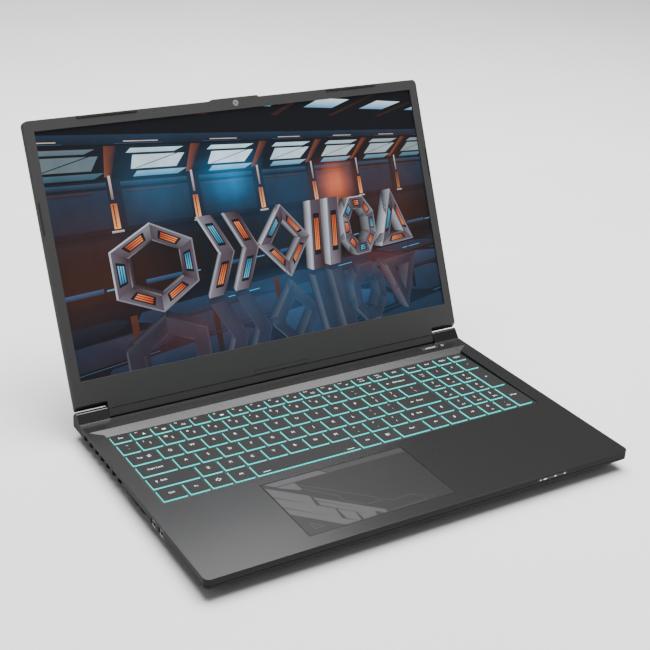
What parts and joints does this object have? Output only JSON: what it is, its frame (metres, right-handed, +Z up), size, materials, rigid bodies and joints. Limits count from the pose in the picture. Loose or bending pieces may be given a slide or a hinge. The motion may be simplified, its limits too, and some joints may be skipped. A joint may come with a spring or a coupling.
{
  "type": "laptop computer",
  "caption": "Open clamshell laptop with a backlit keyboard and number pad, off-centre touchpad, tilting lid with a wide lit screen, and side air vents.",
  "frame": {"origin": "middle of the outline's footprint, on the plane that the feet stand on, with the lid at its rest angle", "axes": "+X to the right along the hinge, +Y to the rear, +Z up"},
  "size_m": [0.36, 0.324, 0.2323],
  "materials": {
    "base_plastic": "fine matt texture",
    "deck_metal": "dark grey satin paint",
    "lid_metal": "dark grey satin paint",
    "bezel_plastic": "fine matt texture",
    "hinge_plastic": "satin",
    "key_frame": "matt",
    "key_cap": "soft matt paint over a clear cyan-lit cap",
    "touch_surface": "smooth satin",
    "rubber": "matt",
    "screen": "low-reflection film over a lit panel",
    "lens": "clear gloss",
    "light_window": "translucent",
    "button_plastic": "satin",
    "steel": "satin",
    "copper": "bare copper",
    "circuit_board": "solder mask",
    "battery_skin": "matt film",
    "fan_plastic": "satin",
    "socket_metal": "stamped"
  },
  "bodies": {
    "base": {"bottom_cover": "base_plastic", "top_cover": "deck_metal", "keyboard_frame": "key_frame", "keyboard_plate": "steel", "status_light_window": "light_window", "motherboard": "circuit_board", "memory_module_left": "circuit_board", "memory_module_right": "circuit_board", "solid_state_drive": "circuit_board", "wireless_card": "circuit_board", "battery_pack": "battery_skin", "heat_pipe_rear": "copper", "heat_pipe_front": "copper", "processor_cold_plate": "copper", "graphics_cold_plate": "copper", "foot_front_left": "rubber", "foot_front_right": "rubber", "foot_rear": "rubber", "usb_port_left": "socket_metal", "microphone_jack": "fan_plastic", "headphone_jack": "fan_plastic", "usb_port_right": "socket_metal", "usb_c_port": "socket_metal", "hdmi_port": "socket_metal", "mini_display_port": "socket_metal", "power_jack": "fan_plastic", "fan_housing_left": "fan_plastic", "fan_housing_right": "fan_plastic", "heat_sink_left": "copper", "heat_sink_right": "copper", "speaker_left": "fan_plastic", "speaker_right": "fan_plastic", "hinge_bracket_left": "steel", "hinge_bracket_right": "steel"},
    "lid": {"hinge_leaf_left": "steel", "hinge_leaf_right": "steel", "bumper_left": "rubber", "bumper_right": "rubber", "lid_back_cover": "lid_metal", "display_bezel": "bezel_plastic", "display_panel": "screen", "webcam_module": "lens", "hinge_cover": "hinge_plastic", "display_cable": "fan_plastic"},
    "power_button": {"power_button": "button_plastic"},
    "touchpad": {"touchpad": "touch_surface"},
    "fan_left": {"fan_impeller_left": "fan_plastic"},
    "fan_right": {"fan_impeller_right": "fan_plastic"},
    "function_keys": {"function_keys": "key_cap"},
    "number_keys": {"number_keys": "key_cap"},
    "backspace_key": {"backspace_key": "key_cap"},
    "upper_letter_keys": {"upper_letter_keys": "key_cap"},
    "home_letter_keys": {"home_letter_keys": "key_cap"},
    "enter_key": {"enter_key": "key_cap"},
    "left_shift_key": {"left_shift_key": "key_cap"},
    "lower_letter_keys": {"lower_letter_keys": "key_cap"},
    "right_shift_key": {"right_shift_key": "key_cap"},
    "bottom_left_keys": {"bottom_left_keys": "key_cap"},
    "space_bar": {"space_bar": "key_cap"},
    "bottom_right_keys": {"bottom_right_keys": "key_cap"}
  },
  "joints": [
    {"name": "lid_hinge", "type": "hinge", "parent": "base", "child": "lid", "pos_m": [0, 0.06602, 0.02133], "axis": [-1, 0, 0], "range_deg": [-113.9, 21.1]},
    {"name": "power_button_press", "type": "slide", "parent": "base", "child": "power_button", "axis": [0, 0, -1], "range_m": [0, 0.0005], "stiffness_N_per_m": 2000, "springref_m": -0.0002},
    {"name": "touchpad_click", "type": "hinge", "parent": "base", "child": "touchpad", "pos_m": [-0.036, -0.07832, 0.0163], "axis": [1, 0, 0], "range_deg": [0, 0.45], "stiffness_Nm_per_rad": 9, "springref_deg": -0.34},
    {"name": "fan_left_spin", "type": "hinge", "parent": "base", "child": "fan_left", "pos_m": [-0.121, 0.01198, 0.0069], "axis": [0, 0, 1], "continuous": true},
    {"name": "fan_right_spin", "type": "hinge", "parent": "base", "child": "fan_right", "pos_m": [0.121, 0.01198, 0.0069], "axis": [0, 0, 1], "continuous": true},
    {"name": "function_keys_press", "type": "slide", "parent": "base", "child": "function_keys", "axis": [0, -0.0169, -0.9999], "range_m": [0, 0.0013], "stiffness_N_per_m": 7000, "springref_m": -0.0004},
    {"name": "number_keys_press", "type": "slide", "parent": "base", "child": "number_keys", "axis": [0, -0.0169, -0.9999], "range_m": [0, 0.0013], "stiffness_N_per_m": 5950, "springref_m": -0.0004},
    {"name": "backspace_key_press", "type": "slide", "parent": "base", "child": "backspace_key", "axis": [0, -0.0169, -0.9999], "range_m": [0, 0.0013], "stiffness_N_per_m": 350, "springref_m": -0.0004},
    {"name": "upper_letter_keys_press", "type": "slide", "parent": "base", "child": "upper_letter_keys", "axis": [0, -0.0169, -0.9999], "range_m": [0, 0.0013], "stiffness_N_per_m": 6300, "springref_m": -0.0004},
    {"name": "home_letter_keys_press", "type": "slide", "parent": "base", "child": "home_letter_keys", "axis": [0, -0.0169, -0.9999], "range_m": [0, 0.0013], "stiffness_N_per_m": 5250, "springref_m": -0.0004},
    {"name": "enter_key_press", "type": "slide", "parent": "base", "child": "enter_key", "axis": [0, -0.0169, -0.9999], "range_m": [0, 0.0013], "stiffness_N_per_m": 350, "springref_m": -0.0004},
    {"name": "left_shift_key_press", "type": "slide", "parent": "base", "child": "left_shift_key", "axis": [0, -0.0169, -0.9999], "range_m": [0, 0.0013], "stiffness_N_per_m": 350, "springref_m": -0.0004},
    {"name": "lower_letter_keys_press", "type": "slide", "parent": "base", "child": "lower_letter_keys", "axis": [0, -0.0169, -0.9999], "range_m": [0, 0.0013], "stiffness_N_per_m": 5250, "springref_m": -0.0004},
    {"name": "right_shift_key_press", "type": "slide", "parent": "base", "child": "right_shift_key", "axis": [0, -0.0169, -0.9999], "range_m": [0, 0.0013], "stiffness_N_per_m": 350, "springref_m": -0.0004},
    {"name": "bottom_left_keys_press", "type": "slide", "parent": "base", "child": "bottom_left_keys", "axis": [0, -0.0169, -0.9999], "range_m": [0, 0.0013], "stiffness_N_per_m": 1400, "springref_m": -0.0004},
    {"name": "space_bar_press", "type": "slide", "parent": "base", "child": "space_bar", "axis": [0, -0.0169, -0.9999], "range_m": [0, 0.0013], "stiffness_N_per_m": 350, "springref_m": -0.0004},
    {"name": "bottom_right_keys_press", "type": "slide", "parent": "base", "child": "bottom_right_keys", "axis": [0, -0.0169, -0.9999], "range_m": [0, 0.0013], "stiffness_N_per_m": 2800, "springref_m": -0.0004}
  ]
}
